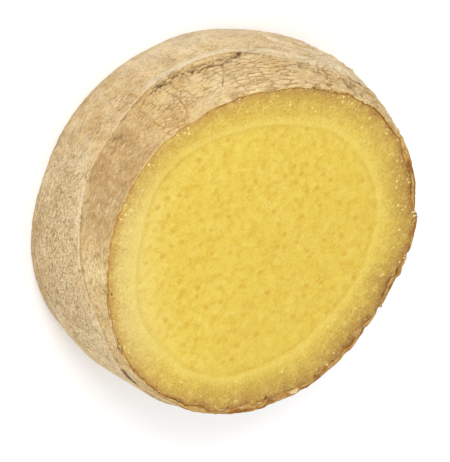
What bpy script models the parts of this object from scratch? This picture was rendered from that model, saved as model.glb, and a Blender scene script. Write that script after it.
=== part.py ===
"""A slice of ginger root, one solid, lying on one of its two cut faces.

Metres, +Z up. The origin is the centre of the slice's box, on the surface that it rests on.
The side is a stack of closed outlines: it swells between the two cuts, and a leaf scar, the
node, wanders round it as a low step. The upper cut is flat and rolls off a little at its rim.
"""

import math

import bmesh
import bpy

MM = 0.001

THICKNESS = 13.5 * MM
SEGMENTS = 72

# Radii of the two cut faces at every 30 degrees, counter-clockwise from +X.
UPPER_CUT = [r * MM for r in (17.7, 18.2, 18.4, 17.7, 17.8, 18.1, 17.7, 17.1, 17.0, 17.4, 17.1, 16.9)]
LOWER_CUT = [r * MM for r in (18.9, 18.4, 18.7, 18.0, 18.3, 19.1, 18.8, 17.9, 17.9, 18.1, 17.9, 18.7)]
# How far the side stands out halfway between the cuts.
SWELL = 1.05 * MM

# Height of the leaf scar at every 15 degrees, counter-clockwise from +X.
NODE_HEIGHT = [
    h * MM
    for h in (
        *(11.2, 10.8, 10.4, 10.0, 9.6, 9.3, 9.1, 9.0, 9.0, 9.1, 9.3, 9.5),
        *(9.9, 10.6, 10.0, 7.3, 7.0, 7.4, 7.9, 8.3, 9.2, 10.8, 12.0, 12.0),
    )
]
NODE_LIP = 0.15 * MM
NODE_DIP = 0.25 * MM
NODE_FADE = 2.0 * MM
NODE_STEP = 0.4 * MM

# Rings of the side: fractions of the way up to the leaf scar, then from its step to the rim.
RINGS_BELOW_NODE = (0.1, 0.25, 0.45, 0.65, 0.85, 1.0)
RINGS_ABOVE_NODE = (0.0, 0.35, 0.7, 1.0)

# Rings of the upper cut: distance in from the rim, and drop below the flat of the face.
RIM_DROP = 0.35 * MM
FACE_RINGS = ((0.7 * MM, 0.12 * MM), (1.8 * MM, 0.0))

FLESH_COLOUR = (0.82, 0.60, 0.10, 1.0)
SKIN_COLOUR = (0.56, 0.37, 0.17, 1.0)
SHARP_ANGLE = math.radians(35)


def around(values, angle):
    """The smooth closed curve through values spaced evenly round the circle, at an angle."""
    count = len(values)
    place = (angle % math.tau) / math.tau * count
    start = math.floor(place)
    t = place - start
    before, here, after, beyond = (values[(start + k) % count] for k in (-1, 0, 1, 2))
    slope = (after - before) / 2
    next_slope = (beyond - here) / 2
    cube = 2 * (here - after) + slope + next_slope
    square = 3 * (after - here) - 2 * slope - next_slope
    return here + t * (slope + t * (square + t * cube))


def side_radius(angle, height):
    """Radius of the side at a height, without the step of the leaf scar."""
    t = height / THICKNESS
    straight = around(LOWER_CUT, angle) * (1 - t) + around(UPPER_CUT, angle) * t
    return straight + 4 * SWELL * t * (1 - t)


def point(angle, radius, height):
    return (radius * math.cos(angle), radius * math.sin(angle), height)


def below_node(angle, fraction):
    """A point of the side up to the leaf scar, whose papery lip stands proud."""
    node = around(NODE_HEIGHT, angle)
    height = fraction * node
    lip = NODE_LIP * math.exp((height - node) / NODE_FADE) * fraction
    return point(angle, side_radius(angle, height) + lip, height)


def above_node(angle, fraction):
    """A point of the side between the foot of the scar's step and the rim."""
    foot = around(NODE_HEIGHT, angle) + NODE_STEP
    top = THICKNESS - RIM_DROP
    height = foot + fraction * (top - foot)
    dip = NODE_DIP * (1 - fraction)
    return point(angle, side_radius(angle, height) - dip, height)


def on_face(angle, inset, drop):
    """A point of the upper cut, at a distance in from its rim."""
    rim = side_radius(angle, THICKNESS - RIM_DROP)
    return point(angle, rim - inset, THICKNESS - drop)


def ring_rules():
    """One rule for each ring above the resting outline, from the bottom to the flat of the cut."""
    rules = [lambda angle, f=f: below_node(angle, f) for f in RINGS_BELOW_NODE]
    rules += [lambda angle, f=f: above_node(angle, f) for f in RINGS_ABOVE_NODE]
    rules += [lambda angle, i=i, d=d: on_face(angle, i, d) for i, d in FACE_RINGS]
    return rules


def move_ring(verts, rule):
    for vert in verts:
        vert.co = rule(math.atan2(vert.co.y, vert.co.x))


def slice_mesh():
    """The closed surface: the resting face, the rings drawn up from its edge, and the flat top."""
    bm = bmesh.new()
    bmesh.ops.create_circle(bm, cap_ends=True, radius=LOWER_CUT[0], segments=SEGMENTS)
    move_ring(bm.verts, lambda angle: point(angle, around(LOWER_CUT, angle), 0.0))
    edges = list(bm.edges)
    for rule in ring_rules():
        drawn = bmesh.ops.extrude_edge_only(bm, edges=edges)["geom"]
        edges = [e for e in drawn if isinstance(e, bmesh.types.BMEdge)]
        verts = [v for v in drawn if isinstance(v, bmesh.types.BMVert)]
        move_ring(verts, rule)
    bmesh.ops.edgeloop_fill(bm, edges=edges)
    bmesh.ops.recalc_face_normals(bm, faces=bm.faces)
    return bm


def centre_on_box(bm):
    xs = [v.co.x for v in bm.verts]
    ys = [v.co.y for v in bm.verts]
    middle = (-(min(xs) + max(xs)) / 2, -(min(ys) + max(ys)) / 2, 0.0)
    bmesh.ops.translate(bm, verts=bm.verts, vec=middle)


def material(name, colour, roughness):
    made = bpy.data.materials.new(name)
    made.use_nodes = True
    shader = made.node_tree.nodes["Principled BSDF"]
    shader.inputs["Base Color"].default_value = colour
    shader.inputs["Roughness"].default_value = roughness
    shader.inputs["Metallic"].default_value = 0.0
    made.diffuse_color = colour
    return made


def paint_cuts(bm):
    """Flesh on the two cut faces and their rolled rim, skin on the side."""
    flesh, skin = 0, 1
    for face in bm.faces:
        face.material_index = flesh if abs(face.normal.z) > math.cos(math.radians(50)) else skin


def ginger_slice(collection):
    bm = slice_mesh()
    centre_on_box(bm)
    paint_cuts(bm)
    mesh = bpy.data.meshes.new("ginger_slice")
    bm.to_mesh(mesh)
    bm.free()
    mesh.materials.append(material("ginger_flesh", FLESH_COLOUR, 0.5))
    mesh.materials.append(material("ginger_skin", SKIN_COLOUR, 0.75))
    mesh.shade_smooth()
    mesh.set_sharp_from_angle(angle=SHARP_ANGLE)
    collection.objects.link(bpy.data.objects.new("ginger_slice", mesh))


def main():
    for old in list(bpy.data.objects):
        bpy.data.objects.remove(old)
    collection = bpy.data.collections.new("ginger_root_slice")
    bpy.context.scene.collection.children.link(collection)
    ginger_slice(collection)


main()
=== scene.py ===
"""The looks of a slice of ginger root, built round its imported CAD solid.

Three meshes stand for the solid: the flesh with its two cut faces, the thin papery skin round
its side, and flakes of torn skin along the rim. Shapes are worked out in millimetres and stored
in metres. Angles round the slice start at +X and run counter-clockwise seen from above.
"""
import math
from functools import partial, partialmethod

import bpy
import numpy as np
from mathutils import Matrix, Vector
from mathutils.bvhtree import BVHTree


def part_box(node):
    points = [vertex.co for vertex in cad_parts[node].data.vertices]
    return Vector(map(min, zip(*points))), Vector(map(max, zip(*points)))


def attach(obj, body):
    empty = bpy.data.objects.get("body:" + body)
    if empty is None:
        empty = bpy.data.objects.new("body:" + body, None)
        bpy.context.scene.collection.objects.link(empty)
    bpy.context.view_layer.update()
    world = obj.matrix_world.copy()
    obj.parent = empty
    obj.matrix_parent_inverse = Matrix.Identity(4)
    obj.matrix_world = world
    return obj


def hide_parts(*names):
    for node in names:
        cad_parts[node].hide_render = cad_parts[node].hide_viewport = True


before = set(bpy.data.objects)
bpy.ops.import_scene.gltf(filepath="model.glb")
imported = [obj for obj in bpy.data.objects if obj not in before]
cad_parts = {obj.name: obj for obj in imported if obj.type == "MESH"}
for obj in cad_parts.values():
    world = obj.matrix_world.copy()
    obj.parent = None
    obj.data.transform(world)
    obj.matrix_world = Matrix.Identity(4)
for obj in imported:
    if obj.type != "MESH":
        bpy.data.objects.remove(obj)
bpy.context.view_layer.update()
MM = 0.001

SLICE_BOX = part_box("ginger_slice")
THICKNESS = (SLICE_BOX[1][2] - SLICE_BOX[0][2]) / MM
MEAN_RADIUS = 18.8

# -------- repeatable noise


def hashed(lattice, seed):
    """A repeatable number from 0 to 1 for each set of whole numbers along the last axis."""
    state = np.full(lattice.shape[:-1], seed * 7919 + 12345, np.uint64)
    for column in np.moveaxis(lattice, -1, 0):
        state = (state ^ column.astype(np.int64).astype(np.uint64)) * np.uint64(0x9E3779B97F4A7C15)
        state ^= state >> np.uint64(29)
    state *= np.uint64(0xBF58476D1CE4E5B9)
    state ^= state >> np.uint64(32)
    return (state >> np.uint64(11)).astype(float) / 2.0**53


def noise(points, size, seed):
    """Smooth noise from -1 to 1, with features about one size across."""
    place = points / size
    low = np.floor(place).astype(np.int64)
    t = place - low
    t = t * t * t * (t * (6 * t - 15) + 10)
    total = np.zeros(points.shape[:-1])
    for corner in np.ndindex(*(2,) * points.shape[-1]):
        weight = np.prod(np.where(np.array(corner), t, 1 - t), axis=-1)
        total += weight * hashed(low + np.array(corner), seed)
    return 2 * total - 1


def rough_noise(points, size, seed):
    """Noise with two finer and weaker layers on top."""
    return sum(noise(points, size / 2**k, seed + k) / 2**k for k in range(3))


def together(*parts):
    """Arrays laid side by side along a new last axis."""
    return np.stack(parts, axis=-1)


def shifts(points, size, seed):
    """Two unlike noises, to push places on the unrolled skin along and up."""
    return together(noise(points, size, seed), noise(points, size, seed + 1))


def cells(points, seed, size):
    """Distance to the nearest wall between scattered cells of a mean size, and each cell's number."""
    place = points / size
    low = np.floor(place).astype(np.int64)
    centres, numbers = [], []
    for step in np.ndindex(3, 3):
        cell = low + np.array(step) - 1
        spot = together(hashed(cell, seed), hashed(cell, seed + 1))
        centres.append(cell + 0.1 + 0.8 * spot)
        numbers.append(hashed(cell, seed + 2))
    centres, numbers = np.array(centres), np.array(numbers)
    nearest = np.linalg.norm(centres - place, axis=-1).argmin(axis=0)[None]
    own = np.take_along_axis(centres, nearest[..., None], axis=0)
    across = centres - own
    length = np.linalg.norm(across / size, axis=-1)
    to_wall = (((centres + own) / 2 - place) * across).sum(axis=-1) / np.maximum(length, 1e-9)
    to_wall[length < 1e-9] = np.inf
    return to_wall.min(axis=0), np.take_along_axis(numbers, nearest, axis=0)[0]


def smooth(low, high, value):
    """0 below low, 1 above high, and a smooth rise between."""
    t = np.clip((value - low) / (high - low), 0.0, 1.0)
    return t * t * (3 - 2 * t)


def bump(value, middle, width):
    """1 at middle, falling off to nothing about twice a width away."""
    return np.exp(-(((value - middle) / width) ** 2))


def band(value, low, high, soft):
    """1 between low and high, with soft ends."""
    return smooth(low - soft, low + soft, value) * (1 - smooth(high - soft, high + soft, value))


def bands(value, *rows):
    """The sum of bands, each given by its strength, low end, high end and softness."""
    return sum(strength * band(value, low, high, soft) for strength, low, high, soft in rows)


def compass(angle):
    """An angle in degrees from 0 to 360."""
    return np.degrees(angle) % 360


def on_cylinder(radius, angle, height):
    """Points from their radius, angle and height."""
    radius, angle, height = np.broadcast_arrays(radius, angle, height)
    return together(radius * np.cos(angle), radius * np.sin(angle), height)


def ring_points(angle, height=0.0):
    """Points on a round cylinder, for noise that has no seam."""
    return on_cylinder(MEAN_RADIUS, angle, height)


# -------- the solid's own shape


# The side is sampled in this many directions and levels, by rays that start this far out, and is
# smoothed to this many waves round it.
SIDE_DIRECTIONS, SIDE_LEVELS, RAY_START, SIDE_WAVES = 144, 14, 60 * MM, 12


def measure_side():
    """The side's radius as a parabola in height at even angles: (angles, three coefficients)."""
    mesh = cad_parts["ginger_slice"].data
    tree = BVHTree.FromPolygons([v.co for v in mesh.vertices], [p.vertices for p in mesh.polygons])
    angles = np.linspace(0, math.tau, SIDE_DIRECTIONS, endpoint=False)
    heights = np.linspace(0.3, THICKNESS - 0.5, SIDE_LEVELS)
    radii = np.zeros((len(heights), len(angles)))
    for i, height in enumerate(heights):
        for j, angle in enumerate(angles):
            out = Vector((math.cos(angle), math.sin(angle), 0.0))
            hit = tree.ray_cast(out * RAY_START + Vector((0, 0, height * MM)), -out)[0]
            radii[i, j] = math.hypot(hit.x, hit.y) / MM
    waves = np.fft.rfft(np.polyfit(heights, radii, 2), axis=1)
    waves[:, SIDE_WAVES:] = 0
    return angles, np.fft.irfft(waves, len(angles), axis=1)


SIDE_ANGLES, SIDE_CURVES = measure_side()


def side_radius(angle, height):
    """Radius in mm of the smooth side, without its leaf scar."""
    a, b, c = (np.interp(angle, SIDE_ANGLES, curve, period=math.tau) for curve in SIDE_CURVES)
    return (a * height + b) * height + c


def around(values, angle):
    """The smooth closed curve through values spaced evenly round the circle, at each angle."""
    values = np.array(values)
    count = len(values)
    place = (angle % math.tau) / math.tau * count
    start = np.floor(place).astype(int)
    t = place - start
    before, here, after, beyond = (values[(start + k) % count] for k in (-1, 0, 1, 2))
    slope, next_slope = (after - before) / 2, (beyond - here) / 2
    cube = 2 * (here - after) + slope + next_slope
    square = 3 * (after - here) - 2 * slope - next_slope
    return here + t * (slope + t * (square + t * cube))


# Height in mm of the leaf scar's papery edge at every 15 degrees. It runs along the solid's own
# step, or a little lower where the edge laps over it.
NODE_HEIGHT = (
    *(11.2, 10.8, 10.4, 10.0, 9.6, 9.3, 9.1, 9.0, 9.0, 9.1, 9.3, 9.5),
    *(9.9, 10.3, 9.25, 7.05, 6.8, 7.1, 7.95, 8.2, 9.3, 10.45, 11.9, 12.2),
)

# -------- the skin


SKIN_THICKNESS = 0.16
SEAM = math.radians(90)
# Columns of the skin's net: from and to in degrees, and how many. Most stand where it is cracked.
COLUMN_RUNS = ((-182, -96, 320), (-96, 12, 240), (12, 178, 270))
# Rows of the net, in mm from the leaf scar, that shape its crisp edge; the rest are even.
EDGE_ROWS = (0.04, 0.1, 0.18, 0.28, 0.42)
ROWS_BELOW, ROWS_ABOVE = 40, 52


def skin_angles():
    """Angles of the skin's columns, in order round the slice."""
    runs = [np.linspace(low, high, count, endpoint=False) for low, high, count in COLUMN_RUNS]
    return np.radians(np.concatenate(runs))


def degrees_of(angle):
    """Angle in degrees from -270 to 90, so that nothing on the scarred side crosses the seam."""
    return np.degrees((angle - SEAM) % math.tau + SEAM) - 360


# The far rim, where the cut edge has dried: from and to in degrees, and how soft its ends are.
FAR_RIM = (14, 166, 9)


def stand_off(angle):
    """How far the skin has come away from the flesh at the upper rim, in mm."""
    deg = compass(angle)
    gap = bands(deg, (0.34, 104, 116, 2), (0.26, 92, 97, 1.5), (0.1, 70, 78, 2))
    gap = gap + 0.14 * band(deg, 13, 31, 2) + 0.08 * band(deg, 150, 160, 4)
    uneven = 0.85 + 0.35 * noise(ring_points(angle), 1.0, 71)
    return gap * uneven - 0.06 * band(deg, *FAR_RIM)


def lip_width(angle):
    """Width in mm of the skin's cut edge: a dried band on the far rim, and a thin lip elsewhere."""
    deg = compass(angle)
    where = ring_points(angle)
    dried = bands(deg, (0.4, *FAR_RIM), (0.34, 36, 93, 5))
    dried = dried * (0.9 + 0.5 * noise(where, 1.9, 92) + 0.25 * noise(where, 0.6, 93))
    frayed = 0.05 * band((deg + 60) % 360, 8, 80, 8) * (1 + 0.7 * noise(where, 1.6, 94))
    return SKIN_THICKNESS * (0.9 + 0.3 * noise(where, 1.4, 91)) + dried + frayed


# Bites out of the torn upper edge: middle and width in degrees, and depth in mm.
BITES = (
    (133.2, 0.7, 0.4), (120, 1, 0.25), (99.5, 1.2, 0.25), (91.6, 0.9, 0.3), (81, 1.6, 0.25),
    (63, 1, 0.2), (51, 0.8, 0.22), (28.7, 1.4, 0.35), (22, 0.8, 0.2), (206, 0.9, 0.12),
    (234.7, 0.7, 0.12), (291, 0.7, 0.12), (300, 1, 0.16), (307, 1.1, 0.16), (333, 0.9, 0.2),
    (341, 0.8, 0.16),
)


def top_edge(angle):
    """Height of the skin's torn upper edge, in mm."""
    deg = compass(angle)
    where = ring_points(angle)
    torn = 0.25 + 0.15 * band(deg, 12, 165, 12) + 0.65 * band((deg + 65) % 360, 5, 85, 12)
    ragged = 0.08 * noise(where, 1.3, 31) + 0.09 * noise(where, 0.5, 35)
    ragged = ragged + 0.05 * noise(where, 0.25, 36)
    ragged = torn * ragged * (0.35 + 0.9 * smooth(-0.1, 0.5, noise(where, 2.6, 37)))
    bites = sum(depth * bump(deg, middle, width) for middle, width, depth in BITES)
    return THICKNESS - 0.08 - 0.34 * band(deg, 20, 165, 12) + ragged - bites


def skin_grid():
    """Angles, heights and distances above the leaf scar of the skin's outer surface."""
    angle = skin_angles()
    where = ring_points(angle)
    line = around(NODE_HEIGHT, angle) + 0.06 * rough_noise(where, 2.2, 41)
    line = line + 0.035 * noise(where, 0.45, 45)
    top = top_edge(angle)
    fall = np.array((0.0, *EDGE_ROWS))[::-1, None]
    even = np.linspace(0, 1, ROWS_BELOW, endpoint=False)[:, None]
    below = np.vstack([even * (line - fall[0]), line - fall])
    climb = np.array((0.03, *EDGE_ROWS[1:]))[:, None]
    even = np.linspace(0, 1, ROWS_ABOVE + 1)[1:, None]
    above = np.vstack([line + climb, line + climb[-1] + even * (top - line - climb[-1])])
    height = np.vstack([below, above])
    return np.broadcast_to(angle, height.shape), height, height - line


# How many times their own width cracks and folds are drawn, and the valleys beside the folds, where
# shade is painted.
LINE_SPREAD, VALLEY_SPREAD = 1.25, 3.0
# Each slants a noise, to draw creases that lean over the skin.
CREASE_SLANT = np.array([[0.9, -0.5], [0.35, 1.1]])
STEEP_SLANT = np.array([[1.9, 0.2], [0.55, 0.5]])
# How crisp the leaf scar's edge is, from 0 to 1, every 15 degrees.
SCAR_CRISP = (
    *(0.9, 0.8, 0.6, 0.7, 0.8, 0.6, 0.5, 0.6, 0.8, 0.7, 0.6, 0.5),
    *(0.75, 0.8, 0.9, 1.0, 1.0, 0.9, 0.5, 0.35, 0.9, 0.9, 0.7, 0.7),
)


def crack_mask(deg, height, above):
    """Where the upper part of the skin has dried into a net of cracks."""
    start = -93 - 0.5 * (height - 8)
    shown = smooth(0, 4, start - deg) * (1 - 0.6 * smooth(-160, -172, deg))
    calm = 1 - 0.8 * band(deg, -124, -111, 3) * smooth(11.4, 12.3, height)
    hidden = band(deg, -262, -188, 8) + band(deg, 28, 62, 7)
    return smooth(0.02, 0.35, above) * (shown * (deg > -185) * calm + 0.8 * hidden)


def crack_net(deg, flat):
    """Depth from 0 to 1 of the cracks, and a number for each plate of skin between them."""
    bent = flat + shifts(flat, 1.3, 51) * (0.35, 0.16) + shifts(flat, 0.4, 54) * (0.08, 0.07)
    bent = bent + 0.1 * bent[..., 1:] * (1.0, 0.0)
    square = band(deg, -114, -93, 4)
    long_wall, plate = cells(bent, 61, (1.7, 0.52))
    square_wall, square_plate = cells(bent, 65, (0.85, 0.42))
    fade = smooth(-0.6, 0.3, noise(flat, 1.0, 53))
    level = bent[..., 1] / 0.62 + 1.1 * noise(flat / (3.0, 1.0), 1.1, 56)
    broken = smooth(-0.25, 0.15, noise(flat / (2.2, 1.0), 0.7, 57))
    wavy = (1 - smooth(0.015, 0.085, 0.55 * abs(level - np.round(level)))) * broken
    lines = (1 - smooth(0.02, 0.1, long_wall)) * (0.25 + 0.75 * fade)
    lines = np.maximum(0.9 * lines * (1 - 0.5 * wavy), wavy)
    squares = (1 - smooth(0.02, 0.085, square_wall)) * (0.25 + 0.75 * fade)
    depth = lines * (1 - square) + squares * square
    return depth * (1 - 0.25 * square), np.where(square > 0.5, square_plate, plate)


# Short dark stretches just over the scar's edge, partly torn skin, partly painted shadow where the
# edge laps over: strength, from and to in degrees, and how high over the edge and how wide they are
# in mm.
TORN_AND_SHADOW_STRETCHES = (
    (0.65, -104, -93, 0.1, 0.1), (0.3, -146, -136.5, 0.08, 0.1), (0.5, -69, -38, 0.05, 0.06),
    (0.6, -16, 4, 0.06, 0.08),
)


def torn_bits_and_shadow(deg, flat, above):
    """Dark torn fragments just above the scar's crisp edge, and painted shadow where it laps over."""
    pieces = noise(flat / (2.6, 1.0), 0.26, 58) + 0.5 * noise(flat, 0.16, 59)
    middle = 0.4 + 0.036 * (-104 - deg).clip(0, 25) + 0.12 * noise(flat, 1.2, 60)
    stretch = band(deg, -132, -104, 1.5)
    place = stretch * (0.55 * bump(above, 0.6 * middle, 0.35) + 1.1 * bump(above, middle, 0.2))
    for strength, low, high, level, width in TORN_AND_SHADOW_STRETCHES:
        place = place + strength * band(deg, low, high, 2) * bump(above, level, width)
    place = place + 0.45 * band(deg, -182, -150, 4) * bump(above, 0.5, 0.6) * (pieces > 0.15)
    return place * smooth(-0.25, 0.2, pieces) * (above > 0)


def long_crack(flat, path, width):
    """Strength of one crack that runs through a few (degrees, height) points."""
    stops = [np.array((math.radians(d) * MEAN_RADIUS, h)) for d, h in path]
    nearest = np.full(flat.shape[:-1], np.inf)
    for start, end in zip(stops, stops[1:]):
        line = end - start
        t = np.clip(((flat - start) @ line) / (line @ line), 0, 1)
        nearest = np.minimum(nearest, np.linalg.norm(flat - start - t[..., None] * line, axis=-1))
    return bump(nearest, 0, width)


def strongest(flat, lines, spread):
    """The strongest at each point of several lines, drawn spread times as wide as they say."""
    found = np.zeros(flat.shape[:-1])
    for width, strength, *path in lines:
        found = np.maximum(found, strength * long_crack(flat, path, spread * width))
    return found


# Single cracks and nicks, and one painted shadow under the scar's lapping edge, from -7 to 2.5
# degrees: width in mm, depth, and the (degrees, height) points of each.
TEAR_AND_SHADOW_LINES = (
    (0.09, 0.9, (-104.8, 7.65), (-108, 7.62), (-111.8, 8)), (0.07, 0.8, (-107, 7.4), (-110.5, 7.5)),
    (0.06, 0.8, (-114.8, 8.1), (-118.6, 8.3), (-119.1, 7.9)),
    (0.12, 1, (-121, 8.25), (-124.5, 8.1), (-126.6, 8.3), (-128.4, 8.45)),
    (0.08, 0.8, (-130, 8.1), (-132.2, 7.9)), (0.18, 1.1, (-133.9, 7.75), (-136.6, 7.4)),
    (0.06, 0.6, (-135, 7.6), (-137.2, 8.3)),
    (0.045, 0.65, (-109.3, 9.4), (-109.6, 10.8), (-108.8, 12.2)),
    (0.05, 0.7, (-103, 10.7), (-106, 10.45), (-109.3, 10.5)),
    (0.045, 0.6, (-112.5, 9.6), (-113.6, 10.9)),
    (0.06, 0.7, (-124.5, 9), (-125.8, 10.2), (-123.6, 11.4)),
    (0.05, 0.6, (-125.8, 10.2), (-129.5, 10.5)), (0.09, 1.3, (-7, 11.82), (-3, 11.5), (2.5, 11.16)),
    (0.07, 0.9, (-44.4, 10.1), (-45.6, 10.6)), (0.06, 0.7, (-65.6, 8.95), (-67.3, 9.35)),
    (0.09, 0.9, (-26.6, 5), (-27.9, 5.6)), (0.07, 0.7, (-29.5, 1.8), (-27.1, 3.8), (-24, 4.6)),
    (0.06, 0.6, (-40, 1.2), (-34, 1.7), (-29.5, 1.9)), (0.05, 0.5, (-36, 2.6), (-31, 2.9)),
    (0.06, 0.6, (-21.4, 5.2), (-18.4, 7), (-15.6, 8.8)),
    (0.06, 0.7, (-84, 8.7), (-86, 9.2), (-87.2, 8.9)),
    (0.06, 0.7, (-86.5, 8.4), (-88, 8.6), (-89.4, 9.1)), (0.05, 0.5, (-83.4, 9.3), (-84.8, 9.7)),
    (0.08, 0.8, (-158, 10.8), (-160, 10.9)), (0.07, 0.6, (-150, 11.1), (-151.2, 11.2)),
    (0.08, 0.7, (-162.2, 12), (-163.4, 12)), (0.06, 0.7, (-154.5, 10.4), (-155.5, 10.5)),
    (0.09, 0.8, (-176, 10.2), (-178.5, 10)), (0.08, 0.8, (-208, 9.4), (-213.5, 9.9), (-219, 9.6)),
    (0.08, 0.8, (40, 10.5), (46, 10.3)), (0.08, 0.6, (-245, 3), (-240, 3.6)),
)

# Soft folds, lying slantwise over the lower band, with a painted highlight on their crests and
# painted shade in the valleys beside them: width and height in mm, and their points.
FOLDS = (
    (0.24, 0.24, (-142, 7.4), (-150, 8.4), (-158, 9.2), (-168, 9.4), (-182, 8.9)),
    (0.22, 0.2, (-150, 6.6), (-155, 7.6), (-164, 8.2), (-178, 7.8)),
    (0.28, 0.22, (-151, 4.2), (-154.5, 5.6), (-158, 6.6), (-168, 6.9), (-180, 6.4)),
    (0.28, 0.18, (-158, 4), (-166, 5.2), (-178, 5.3)), (0.3, 0.14, (-166, 2.6), (-176, 3.4)),
    (0.25, 0.08, (-142, 3.4), (-150, 4.4)), (0.3, 0.16, (-236, 5), (-228, 5.8), (-214, 5.9)),
    (0.3, 0.16, (60, 4.2), (50, 5), (36, 5.2)),
)


def scar_profile(angle, above):
    """Relief in mm of the leaf scar's lip and the hollow over it, and how crisp its edge is."""
    crisp = around(SCAR_CRISP, angle) * (0.85 + 0.3 * noise(ring_points(angle), 1.6, 11))
    over = np.maximum(above, 0)
    lip = 0.14 * np.exp(np.minimum(above, 0) / 1.6)
    drop = 0.11 * crisp * (1 - np.exp(-over / 0.05)) + 0.03 * (1 - np.exp(-over / 2.0))
    hollow = 0.17 * (1 - np.exp(-over / 0.35)) * np.exp(-over / 2.2)
    soft = 1 - smooth(0.2, 0.6, around(SCAR_CRISP, angle))
    return (lip - drop - hollow) * (1 - 0.6 * soft), crisp


def skin_surface():
    """The outer surface of the skin: grid of angles, heights, radii, and what colours it."""
    angle, height, above = skin_grid()
    deg = degrees_of(angle)
    flat = together(np.radians(deg) * MEAN_RADIUS, height)
    solid = ring_points(angle, height)
    wavy = solid * (0.4, 0.4, 1.0)

    relief = 0.1 * noise(solid, 7.0, 1) + 0.06 * noise(solid, 3.0, 2)
    relief += 0.022 * rough_noise(wavy, 0.9, 3) + 0.016 * rough_noise(solid, 0.42, 5)
    scar, crisp = scar_profile(angle, above)

    mask = crack_mask(deg, height, above)
    depth, plate = crack_net(deg, flat)
    cracks = mask * depth
    plates = mask * (plate - 0.5)
    bent = flat + 0.09 * shifts(flat, 0.35, 24)
    swept = bent + 0.3 * shifts(flat, 1.8, 33)
    tears_and_shadow = np.maximum(torn_bits_and_shadow(deg, flat, above), strongest(bent, TEAR_AND_SHADOW_LINES, LINE_SPREAD))
    creases = band(deg, -196, -158, 4) * band(above, 0.2, 2.6, 0.4)
    creases = creases * (1 - smooth(0.02, 0.1, abs(noise(bent / (2.6, 1.0), 0.55, 30))))
    tears_and_shadow = np.maximum(tears_and_shadow, 0.55 * creases)
    tears_and_shadow = np.clip(tears_and_shadow * (0.85 + 0.35 * noise(solid, 0.3, 21)), 0, 1)
    folds = strongest(swept, FOLDS, LINE_SPREAD)
    beside = strongest(swept, FOLDS, VALLEY_SPREAD)

    crumpled = band(deg, -92, -81, 2) * band(above, -0.4, 2.0, 0.4)
    wrinkled = band(deg, -196, -160, 5) * smooth(0.0, 0.5, above)
    crumples = crumpled * 0.12 * rough_noise(solid, 0.5, 27)
    relief += crumples + wrinkled * 0.16 * rough_noise(wavy, 0.8, 29)
    creased = 1 - abs(noise(flat @ CREASE_SLANT, 1.1, 28))
    slanting = 1 - abs(noise(flat @ STEEP_SLANT, 1.1, 32))
    slanting = slanting**4 * band(deg, -104, -72, 5) * smooth(0.1, -0.6, above)
    relief += 0.09 * slanting
    creased = creased**3
    relief += 0.14 * creased * band(deg, -200, -152, 8) + 0.035 * creased * band(deg, -80, -10, 10)
    upper_part = smooth(2.5, 0.0, height[-1] - height)
    far_rim = band(deg % 360, 16, 165, 6)
    scallops = 0.11 * noise(ring_points(angle), 2.1, 95) + 0.04 * noise(ring_points(angle), 0.9, 96)
    relief += upper_part * (far_rim * (scallops + 0.12) + 0.38 * band(deg % 360, 112, 134.5, 0.8))
    relief -= 0.42 * bump(deg, 4, 8) * bump(height, 9, 3)
    relief += scar - 0.1 * cracks + 0.06 * plates - 0.16 * tears_and_shadow + folds
    radius = side_radius(angle, height) + relief
    # Painted shade in the valleys beside the folds, kept off the folds themselves.
    valley_shade = np.clip(beside / 0.2, 0, 1) * (1 - np.clip(folds / 0.12, 0, 1))
    paint = {
        "crack_and_shade": np.clip(cracks, 0, 1),
        "tear_and_shadow": tears_and_shadow,
        # Painted highlight on the crests of the folds and of the slanting creases.
        "fold_highlight": np.clip(folds / 0.24 + 0.45 * slanting, 0, 1),
        "valley_shade": valley_shade * smooth(-0.7, -1.3, above),
        "above": above,
        "plate": mask,
        "degrees": deg,
        "crisp": np.broadcast_to(crisp, deg.shape),
    }
    return angle, height, radius, paint


def numbered(rows, columns):
    """Point numbers of a net, row by row."""
    return np.arange(rows * columns).reshape(rows, columns)


def closed_quads(index):
    """Quads of a net of points that closes on itself both ways."""
    across = np.roll(index, -1, axis=1)
    up, up_across = np.roll(index, -1, axis=0), np.roll(across, -1, axis=0)
    return together(index, across, up_across, up).reshape(-1, 4)


def open_quads(index):
    """Quads of a net of points with a border."""
    corners = index[:-1, :-1], index[:-1, 1:], index[1:, 1:], index[1:, :-1]
    return together(*corners).reshape(-1, 4)


def border(index):
    """The net's outer points, in order round it."""
    return np.concatenate([index[0, :-1], index[:-1, -1], index[-1, :0:-1], index[:0:-1, 0]])


def wall_quads(first, second):
    """Quads between two closed loops of as many points."""
    return together(first, second, np.roll(second, -1), np.roll(first, -1))


def placed(name, data):
    """A new object in the scene that holds the data."""
    made = bpy.data.objects.new(name, data)
    bpy.context.scene.collection.objects.link(made)
    return made


def make_mesh(name, points, quads, attributes, uv):
    """A smooth-shaded mesh object from points in mm, with named values on its points."""
    mesh = bpy.data.meshes.new(name)
    mesh.vertices.add(len(points))
    mesh.vertices.foreach_set("co", (points * MM).astype(np.float32).ravel())
    mesh.loops.add(quads.size)
    mesh.loops.foreach_set("vertex_index", quads.astype(np.int32).ravel())
    mesh.polygons.add(len(quads))
    mesh.polygons.foreach_set("loop_start", np.arange(0, quads.size, 4, dtype=np.int32))
    mesh.update(calc_edges=True)
    mesh.shade_smooth()
    for key, values in attributes.items():
        stored = mesh.attributes.new(key, "FLOAT", "POINT")
        stored.data.foreach_set("value", np.asarray(values, np.float32).ravel())
    mesh.uv_layers.new(name="OFBake").uv.foreach_set("vector", uv.astype(np.float32).ravel())
    return placed(name, mesh)


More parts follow.
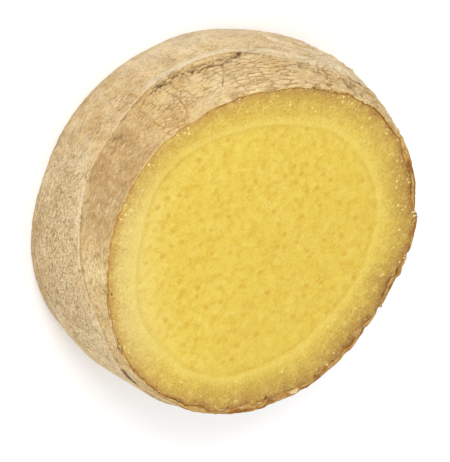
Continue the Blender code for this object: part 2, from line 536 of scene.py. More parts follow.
def skin_tones(paint, angle, height):
    """Values from 0 to 1 that the skin's material reads, for each point of the outer surface."""
    deg, above, crisp = paint["degrees"], paint["above"], paint["crisp"]
    solid = ring_points(angle, height)
    upper = smooth(-0.05, 0.25, above)
    speckled = band(deg, -78, -12, 6) * (1 - smooth(-1.4, -0.1, above))
    hidden = bands(deg, (0.8, 20, 75, 9), (0.6, -262, -205, 9)) * (1 - upper)
    speckled = np.maximum(speckled, hidden)
    patchy = smooth(-0.5, 0.5, noise(solid, 1.5, 81) + 0.5 * noise(solid, 0.6, 82))
    brown = band(deg, -95, -58, 8) * upper * (0.6 + 0.4 * patchy)
    brown += 0.18 * band(deg, -175, -150, 6) * upper * patchy
    brown += 0.15 * band(deg, -58, 20, 12) * upper
    low = 1 - smooth(0.2, 2.2, height + 0.9 * noise(solid, 1.5, 83))
    gold = low * (0.1 + 0.28 * band(deg, -100, -60, 14) + 0.15 * band(deg, -60, -5, 14))
    gold += 0.6 * band(deg, -106, -80, 7) * (1 - upper) * smooth(-0.2, 0.5, noise(solid, 1.6, 85))
    gold += 0.4 * band(deg, -45, -8, 6) * (1 - smooth(2.5, 4.5, height + 0.17 * (deg + 27)))
    gold += 0.45 * band(deg, -112, -78, 8) * smooth(0.5, 4.0, height)
    # The brown also carries painted shade in the valleys beside the folds.
    brown += 0.2 * band(deg, -200, -158, 8) * (1 - upper) * patchy + 0.45 * paint["valley_shade"]
    # The scar's thin edge is pale: partly its papery colour, partly a painted highlight along it.
    thin_edge = bump(above, -0.05, 0.09) * (0.15 + 0.9 * crisp)
    wide_edge = 0.75 * band(deg, -136, -104, 3) * bump(above, -0.35, 0.45)
    # Painted light: paler towards the bottom from -166 to -106 degrees, against the shade near the
    # floor.
    painted_light_low = band(deg, -166, -106, 8) * (1 - smooth(1.0, 5.5, height))
    worn = band(deg, -182, -150, 6) * band(above, -3.0, -0.2, 0.8) * (1 - patchy)
    pale = np.maximum.reduce([
        (above <= 1e-6) * np.maximum(thin_edge, wide_edge),
        0.8 * paint["fold_highlight"],
        0.45 * painted_light_low,
        0.3 * band(deg, -166, -108, 8) * upper * patchy,
        0.35 * worn,
    ])
    # Painted shade: a dark line just over the scar's crisp edge, and in the valleys beside the folds;
    # it joins the cracks' value.
    gentle = bands(deg, (0.4, -131, -104, 3), (0.4, -170, -138, 4))
    shade = bump(above, 0.08, 0.09) * (above > 1e-6) * crisp * (0.65 - gentle)
    shade = np.maximum(shade, 0.55 * paint["valley_shade"] * smooth(-0.2, 0.5, noise(solid, 0.9, 86)))
    return {
        "speckled": speckled,
        "brown": np.clip(brown, 0, 1),
        "gold": np.clip(gold, 0, 1),
        "pale": np.clip(pale, 0, 1),
        "crack_and_shade": np.maximum(paint["crack_and_shade"], shade),
        "tear_and_shadow": paint["tear_and_shadow"],
        "upper": upper,
        "plates": paint["plate"],
    }


# In the layouts for baking: the margin at an edge, and the shares of a strip of skin that its outer
# face and the rest of its rows take.
UV_MARGIN, OUTER_SHARE, INNER_SHARE = 0.005, 0.93, 0.04
# Rows of the skin's cut edge: share of its width inward, height in mm, and how much further it
# climbs on the far rim.
LIP_ROWS = (
    (0.15, 0.03, 0.07), (0.4, 0.05, 0.13), (0.65, 0.055, 0.18), (0.88, 0.045, 0.21), (1, 0, 0.2),
)


def skin_uv(shape, outer, quads):
    """Lays the skin's runs of columns out as three strips, the outer face filling most of each."""
    rows, columns = shape
    row, column = np.divmod(quads, columns)
    first = column[:, :1]
    column = np.where(column < first - 1, column + columns, column)
    row = np.where(row < row[:, :1].min(axis=1, keepdims=True), row + rows, row)
    ends = np.cumsum([0] + [count for _, _, count in COLUMN_RUNS])
    strip = np.searchsorted(ends, first, side="right") - 1
    low, high = ends[strip], ends[strip + 1]
    u = UV_MARGIN + (1 - 2 * UV_MARGIN) * (column - low) / (high - low)
    inner = OUTER_SHARE + INNER_SHARE * (row - outer) / (rows - outer)
    share = np.where(row < outer, OUTER_SHARE * row / outer, inner)
    return together(u, (strip + UV_MARGIN + share) / len(COLUMN_RUNS))


def build_skin():
    """The skin as a thin closed band, its inner face reached over the torn lip."""
    angle, height, radius, paint = skin_surface()
    tones = skin_tones(paint, angle, height)
    top = height[-1]
    turn = angle[-1]
    far_rim = band(compass(turn), *FAR_RIM)
    lip = lip_width(turn)
    rim = radius[-1]
    lip_radii, lip_heights = [], []
    for share, lift, climb in LIP_ROWS:
        ragged = noise(ring_points(turn, 3 * share), 0.7, 97)
        lip_radii.append(rim - share * lip)
        lip_heights.append(top + lift + far_rim * (climb + 0.04 * ragged * share))
    inner_heights = [top - drop for drop in (0.12, 0.35, 0.7, 1.2)]
    inner_heights += [top * share for share in (0.7, 0.4, 0.1)]
    inner_radii = []
    for level in inner_heights:
        wall = side_radius(turn, level) - SKIN_THICKNESS - 0.35 - 0.35 * smooth(0.4, 1.2, top - level)
        inner_radii.append(wall + smooth(1.2, 0.0, top - level) * (rim - lip - wall))
    inner_heights.append(0 * top)
    inner_radii.append(radius[0] - SKIN_THICKNESS)
    all_heights = np.vstack([height, lip_heights, inner_heights])
    all_radii = np.vstack([radius, lip_radii, inner_radii])
    points = on_cylinder(all_radii, turn, all_heights)
    quads = closed_quads(numbered(*all_radii.shape))
    extra = len(lip_radii) + len(inner_radii)
    outer = len(height)
    behind = outer + len(lip_radii)
    attributes = {key: np.vstack([v, np.zeros((extra, len(turn)))]) for key, v in tones.items()}
    cut = np.zeros(all_radii.shape)
    cut[outer - 1] = 0.5
    cut[outer:behind] = 1.0
    cut[0] = 0.4
    inside = np.zeros(all_radii.shape)
    inside[outer - 1 : behind] = 0.8 * far_rim
    inside[behind:] = 1.0
    strand = np.full(all_radii.shape, 0.5)
    for row in range(outer - 1, behind):
        strand[row] += 0.45 * rough_noise(ring_points(turn, 0.9 * row), 1.5, 98)
    attributes.update(cut=cut, inside=inside, strand=strand)
    uv = skin_uv(all_radii.shape, outer, quads)
    skin = make_mesh("ginger_skin", points.reshape(-1, 3), quads, attributes, uv)
    return skin, rim - lip, radius[0] - SKIN_THICKNESS


# -------- the flesh


FACE_STEPS = 200
# The ring in the cut face: its centre in mm, and its radius at every 30 degrees.
RING_CENTRE = (0.25, -0.4)
RING_RADIUS = (13.5, 14.0, 13.4, 12.9, 13.5, 13.95, 13.75, 13.0, 13.2, 14.1, 13.1, 13.3)


def disc_grid():
    """Angle and share of the rim radius for an even net of points over a disc."""
    line = np.linspace(-1, 1, FACE_STEPS)
    x, y = np.meshgrid(line, line)
    share = np.maximum(abs(x), abs(y))
    wide = abs(x) >= abs(y)
    safe_x, safe_y = np.where(abs(x) < 1e-12, 1e-12, x), np.where(abs(y) < 1e-12, 1e-12, y)
    turn = np.where(wide, y / safe_x, x / safe_y) * math.pi / 4
    sideways = np.where(x >= 0, 0, math.pi) + turn
    return np.where(wide, sideways, np.where(y >= 0, 1, -1) * math.pi / 2 - turn), share


def ring_distance(x, y):
    """Distance in mm outward from the ring in the cut face."""
    dx, dy = x - RING_CENTRE[0], y - RING_CENTRE[1]
    turn = np.arctan2(dy, dx)
    wander = 0.12 * noise(together(x, y), 2.5, 101)
    return np.hypot(dx, dy) - around(RING_RADIUS, turn) + wander


def face_relief(x, y, to_ring, seed):
    """Height in mm of the moist cut face over its plane."""
    flat = together(x, y)
    grain = 0.02 * rough_noise(flat, 0.75, seed) + 0.012 * noise(flat, 0.4, seed + 5)
    dome = 0.05 * noise(flat, 9.0, seed + 7) + 0.02 * noise(flat, 2.2, seed + 8)
    step = 0.05 * smooth(-0.25, 0.25, to_ring) - 0.05 * bump(to_ring, -0.1, 0.16)
    wall, number = cells(flat, seed + 9, (0.8, 0.8))
    dents = -0.03 * smooth(0.04, 0.24, wall) * (number > 0.7)
    return grain + dome + dents + step


# The flesh's hidden side: how far down from the rim each row lies, in mm, and how far it has drawn
# back under the skin, from 0 to 1.
SIDE_FALLS = ((0.06, 0), (0.14, 0.1), (0.3, 0.3), (1.2, 1), (4, 1), (8, 1), (12.4, 1))
# The layout for baking: the width in mm that a face's square holds, the sides of the squares of
# the upper and the lower face, where the second starts, and the height of the side's strip.
FACE_WIDTH = 39.0
UPPER_SQUARE, LOWER_SQUARE, LOWER_START, STRIP_HEIGHT = 0.64, 0.33, 0.66, 0.3


def flesh_uv(upper, lower, loop_length, face_quads):
    """The two faces as discs, and the hidden side as a strip over the larger one."""
    top = UV_MARGIN + UPPER_SQUARE * (upper[:, :2] / FACE_WIDTH + 0.5)
    bottom = LOWER_START + LOWER_SQUARE * (lower[:, :2] / FACE_WIDTH + 0.5)
    steps = np.arange(loop_length)[:, None] + (0, 0, 1, 1)
    along = UV_MARGIN + UPPER_SQUARE * steps / loop_length
    rows = len(SIDE_FALLS) + 1
    walls = []
    for k in range(rows):
        up = LOWER_START + STRIP_HEIGHT * np.array((k, k + 1, k + 1, k)) / rows
        walls.append(together(along, np.broadcast_to(up, along.shape)))
    return np.concatenate([top[face_quads], bottom[face_quads[:, ::-1]]] + walls)


def build_flesh(rim_angles, rim_radii, base_radii):
    """The flesh as one closed body: upper face, side under the skin, and resting face."""
    angle, share = disc_grid()
    inner = np.interp(angle, rim_angles, rim_radii, period=math.tau)
    deg = compass(angle)
    rim = inner - stand_off(angle) + 0.04
    x, y = share * rim * np.cos(angle), share * rim * np.sin(angle)
    to_rim = (1 - share) * rim
    to_ring = ring_distance(x, y)
    far = np.maximum(band(deg, 25, 160, 16), 0.45 * band(deg, 150, 225, 14))
    roll = 0.35 + 0.45 * far
    droop = (0.1 - 0.06 * far) * np.clip(1 - to_rim / roll, 0, 1) ** 2
    droop += (0.05 + 0.1 * far) * np.clip(1 - to_rim / (2.4 + 1.4 * far), 0, 1) ** 2
    top = THICKNESS - 0.07 - droop + face_relief(x, y, to_ring, 111)
    upper = together(x, y, top).reshape(-1, 3)

    low_rim = np.interp(angle, rim_angles, base_radii, period=math.tau) + 0.03
    low_x, low_y = share * low_rim * np.cos(angle), share * low_rim * np.sin(angle)
    low_to_rim = (1 - share) * low_rim
    low_ring = ring_distance(low_x, low_y)
    hollow = 0.11 - face_relief(low_x, low_y, low_ring, 131)
    lower = together(low_x, low_y, np.maximum(hollow, 0.01)).reshape(-1, 3)

    index = numbered(FACE_STEPS, FACE_STEPS)
    loop = border(index)
    loop_angle, loop_rim = angle.ravel()[loop], rim.ravel()[loop]
    side = []
    for fall, closeness in SIDE_FALLS:
        level = np.maximum(upper[loop, 2] - fall, 0.4)
        deep = side_radius(loop_angle, level) - SKIN_THICKNESS - 1.0
        radius = loop_rim + closeness * (deep - loop_rim)
        side.append(on_cylinder(radius, loop_angle, level))
    face = open_quads(index)
    count = len(upper)
    side_rows = 2 * count + numbered(len(side), len(loop))
    rows = [loop, *side_rows, count + loop]
    walls = [wall_quads(high, low) for high, low in zip(rows, rows[1:])]
    faces = np.concatenate([face, face[:, ::-1] + count] + walls)
    points = np.concatenate([upper, lower] + side)

    def values(on_top, on_bottom, on_side):
        """One value for each point, where each of the three may be a plain number."""
        faces = [np.broadcast_to(part, angle.shape).ravel() for part in (on_top, on_bottom)]
        return np.concatenate([*faces, np.tile(np.broadcast_to(on_side, loop.shape), len(side))])

    torn = band((deg + 65) % 360, 8, 246, 10) * (1 - 0.35 * band(deg, 40, 165, 12))
    torn = torn * (1 - 0.9 * band((deg + 80) % 360, 5, 80, 10)) + 0.6 * band(deg, 12, 32, 3)
    paler_left = band(deg, 280, 352, 18)
    attributes = {
        "rim": values(to_rim, low_to_rim, 0),
        "ring": values(to_ring, low_ring, 4),
        "far": values(far, 0.4, far.ravel()[loop]),
        "torn": values(torn, 0.4, torn.ravel()[loop]),
        "paler_left": values(paler_left, 0, 0),
    }
    uv = flesh_uv(upper, lower, len(loop), face)
    return make_mesh("ginger_flesh", points, faces, attributes, uv)


# -------- torn flakes of skin


# Each flake: degrees, mm outward from the skin's edge, mm up from the cut, width and
# length in mm, lean outward from upright in degrees, and how pale it is from 0 to 1.
FLAKES = (
    (135.2, -0.1, -0.35, 0.45, 0.5, 40, 0.9), (134, -0.35, -0.15, 0.45, 0.35, 60, 1),
    (120, -0.4, -0.22, 0.7, 0.35, 70, 1), (119, -0.15, -0.25, 0.4, 0.4, 30, 0.8),
    (101, 0, -0.45, 0.9, 0.5, 10, 0.45), (95.5, -0.3, -0.25, 1, 0.5, -60, 0.55),
    (88.5, -0.3, -0.16, 1.9, 0.95, 70, 0.72), (84.6, -0.25, -0.28, 0.7, 0.45, -40, 0.75),
    (60, -0.12, -0.25, 1.7, 0.45, 15, 0.9), (53, -0.1, -0.35, 1.1, 0.4, 20, 0.35),
    (47, -0.16, -0.25, 1.2, 0.35, -30, 0.85), (40, -0.1, -0.25, 1, 0.4, -10, 0.9),
    (32.8, -0.14, -0.2, 1.1, 0.4, -50, 1), (22.6, -0.2, -0.18, 0.6, 0.4, -35, 1),
    (15, -0.18, -0.22, 1.3, 0.4, -20, 0.4), (6, -0.1, -0.2, 0.8, 0.35, -25, 0.9),
    (-4, -0.1, -0.2, 0.7, 0.35, -15, 0.8), (-19, -0.08, -0.28, 1.2, 0.42, -10, 0.95),
    (-27.5, -0.08, -0.25, 0.8, 0.4, -25, 1), (-11.5, -0.14, -0.2, 0.45, 0.28, -35, 0.85),
    (-15, -0.1, -0.18, 0.35, 0.26, -20, 0.95), (-22.5, -0.12, -0.2, 0.4, 0.28, -30, 0.9),
    (-29.5, -0.14, -0.16, 0.3, 0.24, -45, 1), (-34, -0.12, -0.18, 0.45, 0.28, -25, 0.9),
    (-43, -0.1, -0.18, 0.3, 0.24, -35, 0.85), (-53, -0.1, -0.18, 0.4, 0.3, -30, 0.9),
    (-60.5, -0.12, -0.18, 0.5, 0.3, -30, 1), (-66, -0.1, -0.18, 0.4, 0.28, -20, 0.9),
    (-69.5, -0.15, -0.15, 0.3, 0.26, -50, 1), (-125.2, -0.45, -0.1, 0.35, 0.3, 40, 1),
    (-126.6, -0.25, -0.12, 0.3, 0.22, -30, 1), (-154.6, -0.06, -0.22, 0.9, 0.4, -20, 0.7),
    (-157.5, -0.1, -0.2, 0.6, 0.32, -45, 0.9), (178.6, -0.3, -0.12, 0.5, 0.3, -45, 0.5),
)
CRUMBS = 42
FLAKE_COLUMNS, FLAKE_ROWS = 13, 8
# The values that skin_tones gives, all of them nought on the flakes.
SKIN_TONES = ("speckled", "brown", "gold", "pale", "crack_and_shade", "tear_and_shadow", "upper", "plates")


def crumb_list():
    """Small crumbs strewn along the torn stretches of the rim."""
    crumbs = []
    lattice = together(*np.meshgrid(np.arange(CRUMBS), np.arange(8), indexing="ij"))
    for row in hashed(lattice, 301):
        deg = -45 + 215 * row[0]
        small = 0.14 + 0.22 * row[1] ** 2
        lean = -80 + 60 * row[5]
        out = -0.05 - 0.25 * row[2]
        crumbs.append((deg, out, -0.22 + 0.1 * row[3], small * (1 + row[4]), small, lean, row[6]))
    return crumbs


def flake_faces(flake, rim_angles, rim_radii, seed):
    """The two faces of one flake: a curled scrap with a ragged edge, thin all over."""
    deg, outward, rise_mm, width, length, lean, _ = flake
    s, t = np.meshgrid(np.linspace(-0.5, 0.5, FLAKE_COLUMNS), np.linspace(0, 1, FLAKE_ROWS))
    place = together(s * width, t * length)
    outline = 1 - abs(2 * s) ** 3
    ragged = (1 + 0.25 * noise(place * (1, 0), 0.3, seed)).clip(0.1, None)
    reach = t * length * outline * ragged
    turn = math.radians(lean) + 0.5 * t
    here = math.radians(deg)
    radius = np.interp(here, rim_angles, rim_radii, period=math.tau) + outward
    angle = here + s * width * (1 - 0.35 * t) / radius
    lump = 0.1 * min(1.0, length) * noise(place, 0.35, seed + 1)
    thin = (0.03 + 0.05 * min(1.0, length)) * (1 - 0.5 * t)
    faces = []
    for side in (0.0, 1.0):
        offset = lump - side * thin
        r = radius + reach * np.sin(turn) + offset * np.cos(turn)
        z = THICKNESS + rise_mm + reach * np.cos(turn) - offset * np.sin(turn)
        z = np.minimum(z, THICKNESS + 0.1)
        faces.append(on_cylinder(r, angle, z).reshape(-1, 3))
    return faces


def build_flakes(rim_angles, rim_radii):
    """All the flakes and crumbs as one object of separate closed scraps."""
    per_face = FLAKE_COLUMNS * FLAKE_ROWS
    index = numbered(FLAKE_ROWS, FLAKE_COLUMNS)
    front, loop = open_quads(index), border(index)
    scrap = np.concatenate([front, front[:, ::-1] + per_face, wall_quads(loop, loop + per_face)])
    points, quads, uv, pale = [], [], [], []
    flakes = list(FLAKES) + crumb_list()
    across = math.ceil(math.sqrt(len(flakes)))
    row, column = np.divmod(np.arange(2 * per_face), FLAKE_COLUMNS)
    spot = together((column + 0.5) / FLAKE_COLUMNS, (row + 0.5) / (2 * FLAKE_ROWS))
    for number, flake in enumerate(flakes):
        quads.append(scrap + 2 * per_face * number)
        points += flake_faces(flake, rim_angles, rim_radii, 400 + 3 * number)
        uv.append((spot + (number % across, number // across))[scrap] / across)
        pale.append(np.full(2 * per_face, flake[-1]))
    pale = np.concatenate(pale)
    attributes = {key: np.zeros(len(pale)) for key in SKIN_TONES}
    attributes["cut"] = np.clip(2 * pale - 0.6, 0, 1)
    attributes["inside"] = np.clip(1.1 - 1.6 * pale, 0, 1)
    attributes["strand"] = pale**2
    points, quads, uv = (np.concatenate(parts) for parts in (points, quads, uv))
    return make_mesh("ginger_flakes", points, quads, attributes, uv)


# -------- materials


# How many times white the stage's light makes a white surface.
LIGHT_GAIN = 1.3


def srgb(red, green, blue):
    """Linear colour that looks like a shade from 0 to 255 on this stage."""
    shades = (c / 255 for c in (red, green, blue))
    linear = (c / 12.92 if c < 0.04 else ((c + 0.055) / 1.055) ** 2.4 for c in shades)
    return (*(c / LIGHT_GAIN for c in linear), 1.0)


class Value:
    """An output of a shader node, which can be reckoned with like a number."""

    def __init__(self, socket):
        self.socket = socket
        self.tree = socket.id_data

    def maths(self, operation, *others):
        inputs = dict(enumerate((self, *others)))
        return Value(node(self.tree, "Math", inputs, operation=operation).outputs[0])

    __add__ = partialmethod(maths, "ADD")
    __sub__ = partialmethod(maths, "SUBTRACT")
    __mul__ = partialmethod(maths, "MULTIPLY")
    __truediv__ = partialmethod(maths, "DIVIDE")
    __abs__ = partialmethod(maths, "ABSOLUTE")


def node(tree, kind, inputs=(), **settings):
    """Adds a shader node. An input is a plain value, or the Value that feeds it."""
    made = tree.nodes.new("ShaderNode" + kind)
    for name, value in settings.items():
        setattr(made, name, value)
    for name, value in dict(inputs).items():
        if isinstance(value, Value):
            tree.links.new(value.socket, made.inputs[name])
        else:
            made.inputs[name].default_value = value
    return made


def attribute(tree, name):
    """A value named on the mesh's points."""
    return Value(node(tree, "Attribute", attribute_name=name).outputs["Fac"])


def mix(amount, first, second):
    """The first colour turning into the second as amount goes from 0 to 1."""
    inputs = {0: amount, 6: first, 7: second}
    return Value(node(amount.tree, "Mix", inputs, data_type="RGBA").outputs[2])


def tint(colour, amount, *shade):
    """The colour turning into a plain shade as amount goes from 0 to 1."""
    return mix(amount, colour, srgb(*shade))


def ramp(amount, *stops):
    """A colour ramp from stops, each a position and a shade."""
    made = node(amount.tree, "ValToRGB", {"Fac": amount})
    elements = made.color_ramp.elements
    while len(elements) < len(stops):
        elements.new(0.5)
    for element, (position, *shade) in zip(elements, stops):
        element.position = position
        element.color = srgb(*shade)
    return Value(made.outputs["Color"])


def rise(value, low, high):
    """0 at low, 1 at high, straight between; low may be the higher of the two."""
    inputs = {"Value": value, "From Min": low, "From Max": high}
    return Value(node(value.tree, "MapRange", inputs).outputs["Result"])


def spread(value, low, high):
    """A value from 0 to 1 laid out from low to high."""
    inputs = {"Value": value, "To Min": low, "To Max": high}
    return Value(node(value.tree, "MapRange", inputs).outputs["Result"])


def places(tree, across=1.0, up=1.0):
    """The object's own coordinates in mm, optionally stretched across the slice and up."""
    coords = Value(node(tree, "TexCoord").outputs["Object"])
    inputs = {"Vector": coords, "Scale": (across / MM, across / MM, up / MM)}
    return Value(node(tree, "Mapping", inputs).outputs["Vector"])


def grain(vector, size, detail=2.0, roughness=0.5, distortion=0.0):
    """Noise from 0 to 1 with features about one size (in mm) across."""
    names = ("Vector", "Scale", "Detail", "Roughness", "Distortion")
    inputs = dict(zip(names, (vector, 1 / size, detail, roughness, distortion)))
    return Value(node(vector.tree, "TexNoise", inputs).outputs["Fac"])


def spots(vector, size):
    """Cells about one size (in mm) apart: distance to the centre, and three random numbers."""
    made = node(vector.tree, "TexVoronoi", {"Vector": vector, "Scale": 1 / size})
    numbers = node(vector.tree, "SeparateColor", {"Color": Value(made.outputs["Color"])})
    return Value(made.outputs["Distance"]), [Value(number) for number in numbers.outputs]


def new_material(name):
    made = bpy.data.materials.new(name)
    made.use_nodes = True
    return made, made.node_tree, made.node_tree.nodes["Principled BSDF"]


def dress(shader, colour, roughness, specular, surface, distance_mm):
    """Feeds a shader its colour and shine, and bumps it by a surface height from 0 to 1."""
    inputs = {"Height": surface, "Distance": distance_mm * MM, "Strength": 1.0}
    normal = Value(node(surface.tree, "Bump", inputs).outputs["Normal"])
    for name, value in (("Base Color", colour), ("Roughness", roughness), ("Normal", normal)):
        surface.tree.links.new(value.socket, shader.inputs[name])
    shader.inputs["Specular IOR Level"].default_value = specular


def flesh_material():
    """Moist yellow flesh: paler round the ring, browner to the rim, flecked with bundle ends."""
    made, tree, shader = new_material("ginger_flesh")
    mark, where = partial(attribute, tree), places(tree)
    to_rim = mark("rim")
    rim = to_rim + (grain(where, 0.6, detail=4.0) - 0.5) * 1.3
    near = (
        *((0, 196, 146, 68), (0.05, 202, 158, 76), (0.11, 206, 166, 72), (0.2, 213, 176, 72)),
        *((0.36, 223, 188, 72), (0.55, 232, 201, 78), (0.72, 237, 207, 82), (1, 235, 203, 72)),
    )
    shaded = (
        *((0, 152, 100, 36), (0.06, 173, 126, 52), (0.16, 190, 149, 60), (0.3, 202, 164, 64)),
        *((0.45, 214, 181, 70), (0.62, 228, 195, 74), (1, 232, 200, 70)),
    )
    # On the far side the flesh turns to the darker ramp: partly its dried rim, partly painted shade.
    colour = mix(mark("far"), ramp(rim / 6.0, *near), ramp(rim / 6.0, *shaded))

    ring = mark("ring")
    inner, outer = rise(ring, 0.1, -0.3), rise(ring, 0.2, 1.8)
    halo = rise(ring, 0.0, 0.25) * rise(ring, 1.2, 0.35)
    colour = tint(colour, halo * 0.3, 246, 222, 112)
    line = rise(ring, -0.45, -0.1) * rise(ring, 0.1, -0.05)
    broken = rise(grain(where, 2.2), 0.35, 0.6)
    colour = tint(colour, line * broken * 0.5, 208, 172, 52)

    cloud = grain(where, 1.1, detail=4.0, roughness=0.6)
    colour = tint(colour, rise(cloud, 0.48, 0.72) * 0.46, 247, 222, 108)
    # Paler towards the rim on the left side of the face.
    paler_left_rim = mark("paler_left") * (rise(to_rim, 7.0, 1.6) * rise(rim, 0.2, 1.2))
    colour = tint(colour, paler_left_rim * 0.36, 252, 232, 158)
    patch = grain(where, 0.85, detail=3.0, distortion=0.3)
    colour = tint(colour, rise(patch, 0.47, 0.7) * (inner * 0.75), 222, 182, 42)
    distance, numbers = spots(where, 1.15)
    bundle = rise(distance, 0.34, 0.12) * rise(numbers[0], 0.45, 0.55)
    colour = tint(colour, bundle * inner * 0.68, 218, 168, 30)

    fine = grain(where, 0.2)
    colour = tint(colour, rise(fine, 0.54, 0.74) * 0.4, 250, 230, 138)
    colour = tint(colour, rise(fine, 0.46, 0.28) * (outer * 0.4 + 0.15), 164, 118, 40)
    ragged = grain(where, 0.45, detail=3.0, roughness=0.65)
    stain = rise(to_rim + ragged * 2.2, 1.75, 1.05) * mark("torn")
    colour = tint(colour, stain * 0.7, 176, 120, 48)
    # Painted highlights: pale specks standing for wet glints, most of them in the outer flesh.
    distance, numbers = spots(where, 0.42)
    ragged_edge = distance + (ragged - 0.5) * 0.8
    glints = rise(numbers[2] * 0.27 - ragged_edge, -0.1, 0.0) * rise(numbers[1], 0.48, 0.54)
    clumps = rise(grain(where, 2.0), 0.4, 0.58)
    colour = tint(colour, glints * (outer * clumps * 0.75 + 0.12), 252, 230, 144)

    dress(shader, colour, spread(fine, 0.34, 0.62), 0.35, fine + patch * 0.8, 0.05)
    return made


def skin_material():
    """Dry tan skin: stippled, streaked round the root, cracked, with a pale lip where it is cut."""
    made, tree, shader = new_material("ginger_skin")
    mark, where = partial(attribute, tree), places(tree)
    tone = grain(where, 2.6, detail=4.0, roughness=0.55)
    lower_tone = ramp(tone, (0.32, 227, 195, 139), (0.5, 239, 210, 156), (0.7, 250, 227, 178))
    upper_tone = ramp(tone, (0.32, 227, 192, 127), (0.5, 239, 208, 145), (0.7, 251, 226, 166))
    colour = mix(mark("upper"), lower_tone, upper_tone)
    colour = tint(colour, mark("gold") * 0.6, 212, 164, 88)
    # The brown also holds painted shade in the valleys beside the folds.
    colour = tint(colour, mark("brown") * 0.68, 176, 132, 80)

    streaks = grain(places(tree, 0.55, 1.3), 0.42, detail=4.0, roughness=0.65, distortion=0.4)
    colour = tint(colour, rise(streaks, 0.48, 0.3) * 0.5, 166, 122, 70)
    colour = tint(colour, rise(streaks, 0.54, 0.72) * 0.5, 248, 228, 190)
    # Fibre grain, whose dark pits and light tops are painted shade and painted highlight for relief
    # too fine to shade.
    fibre_shade_and_highlight = grain(places(tree, 0.75, 1.2), 0.22, detail=3.0, roughness=0.6, distortion=0.5)
    calm = mark("plates").maths("MAXIMUM", mark("brown"))
    plain = calm * -0.55 + 1.0
    colour = tint(colour, rise(fibre_shade_and_highlight, 0.48, 0.33) * plain * 0.5, 156, 116, 70)
    colour = tint(colour, rise(fibre_shade_and_highlight, 0.53, 0.68) * plain * 0.56, 255, 240, 206)
    thread = grain(places(tree, 0.3, 1.2), 0.38)
    patches = rise(grain(where, 1.7), 0.4, 0.62)
    hairline = rise(abs(thread - 0.5), 0.028, 0.004) * patches * plain
    colour = tint(colour, hairline * 0.42, 146, 104, 58)

    dots = rise(grain(where, 0.24, detail=1.5, distortion=0.3), 0.5, 0.38)
    dot_share = mark("speckled") * 0.34 + 0.08
    colour = tint(colour, dots * dot_share, 150, 104, 60)
    # Pale: the scar's papery edge with a painted highlight, a painted highlight on fold crests, and
    # painted light near the bottom.
    colour = tint(colour, mark("pale") * 0.75, 246, 228, 194)
    # Cracks, with painted shade just over the scar's edge and in the fold valleys.
    colour = tint(colour, mark("crack_and_shade") * 0.78, 160, 106, 44)
    # Tears, with painted shadow under stretches where the scar's edge laps over.
    colour = tint(colour, mark("tear_and_shadow") * 0.92, 98, 52, 14)

    bits = grain(where, 0.5, detail=3.0, roughness=0.65) * 0.5 + mark("strand") * 0.5
    torn = ((0.36, 172, 118, 52), (0.48, 204, 158, 86), (0.6, 234, 204, 140), (0.74, 242, 216, 158))
    colour = mix(mark("cut"), colour, ramp(bits, *torn))
    inner = ((0.36, 150, 96, 36), (0.5, 188, 136, 62), (0.64, 212, 166, 88))
    colour = mix(mark("inside"), colour, ramp(bits, *inner))

    surface = dots * (dot_share * -1.0) + streaks * 1.1 + fibre_shade_and_highlight * 0.9 - hairline * 0.5
    dress(shader, colour, spread(streaks, 0.5, 0.8), 0.12, surface, 0.14)
    return made


def floor_material():
    made, _, shader = new_material("floor")
    shader.inputs["Base Color"].default_value = (0.94, 0.94, 0.95, 1.0)
    shader.inputs["Roughness"].default_value = 0.9
    shader.inputs["Specular IOR Level"].default_value = 0.0
    return made


# -------- stage


VIEW_TILT = math.radians(38.5)
VIEW_TURN = math.radians(129.6)
CAMERA_LENS = 250.0
CAMERA_DISTANCE = 0.321
AIM = Vector((0.9 * MM, 0.65 * MM, THICKNESS / 2 * MM))
# The floor lies just under the slice, so that the two faces don't coincide.
FLOOR_HALF, FLOOR_HEIGHT = 1.5, -0.02 * MM


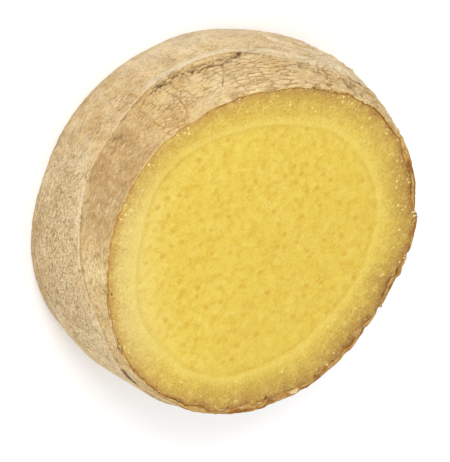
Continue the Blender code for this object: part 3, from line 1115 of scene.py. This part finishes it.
def build_camera():
    """Looks down on the upper cut from the scarred side, with the slice turned on the picture."""
    data = bpy.data.cameras.new("camera")
    data.lens = CAMERA_LENS
    camera = placed("camera", data)
    turn = Matrix.Rotation(VIEW_TILT, 4, "X") @ Matrix.Rotation(VIEW_TURN, 4, "Z")
    back = Matrix.Translation((0, 0, CAMERA_DISTANCE))
    camera.matrix_world = Matrix.Translation(AIM) @ turn @ back
    bpy.context.scene.camera = camera


def area_light(name, toward_deg, elevation_deg, distance, size, power):
    """A square soft light aimed at the slice, from a compass angle and a height above level."""
    azimuth, elevation = math.radians(toward_deg), math.radians(elevation_deg)
    level = math.cos(elevation)
    out = Vector((level * math.cos(azimuth), level * math.sin(azimuth), math.sin(elevation)))
    data = bpy.data.lights.new(name, "AREA")
    data.size = size
    data.energy = power
    light = placed(name, data)
    light.location = AIM + out * distance
    light.rotation_euler = out.to_track_quat("Z", "Y").to_euler()


def build_stage():
    """A wide pale floor under soft light from overhead and from the scarred side."""
    ways = ((-1, -1), (1, -1), (1, 1), (-1, 1))
    corners = [(x * FLOOR_HALF, y * FLOOR_HALF, FLOOR_HEIGHT) for x, y in ways]
    mesh = bpy.data.meshes.new("floor")
    mesh.from_pydata(corners, [], [(0, 1, 2, 3)])
    mesh.materials.append(floor_material())
    floor = placed("floor", mesh)
    world = bpy.data.worlds.new("soft_sky")
    world.use_nodes = True
    sky = world.node_tree.nodes["Background"].inputs
    sky["Color"].default_value = (1.0, 1.0, 1.0, 1.0)
    sky["Strength"].default_value = 0.95
    bpy.context.scene.world = world
    area_light("key", -112, 44, 0.45, 0.16, 0.9)
    area_light("fill", -12, 22, 0.5, 0.3, 0.32)
    area_light("overhead", -60, 80, 0.6, 0.5, 0.15)
    bpy.context.scene.view_settings.view_transform = "Standard"


# -------- the scene


def main():
    skin, rim_radii, base_radii = build_skin()
    rim_angles = skin_angles() % math.tau
    flesh = build_flesh(rim_angles, rim_radii, base_radii)
    flakes = build_flakes(rim_angles, rim_radii)
    skin_look = skin_material()
    for piece, look in ((flesh, flesh_material()), (skin, skin_look), (flakes, skin_look)):
        piece.data.materials.append(look)
    for piece, slot in ((flesh, "ginger_flesh"), (skin, "ginger_skin"), (flakes, "ginger_skin")):
        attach(piece, "root")
        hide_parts("ginger_slice")
    build_camera()
    build_stage()


main()
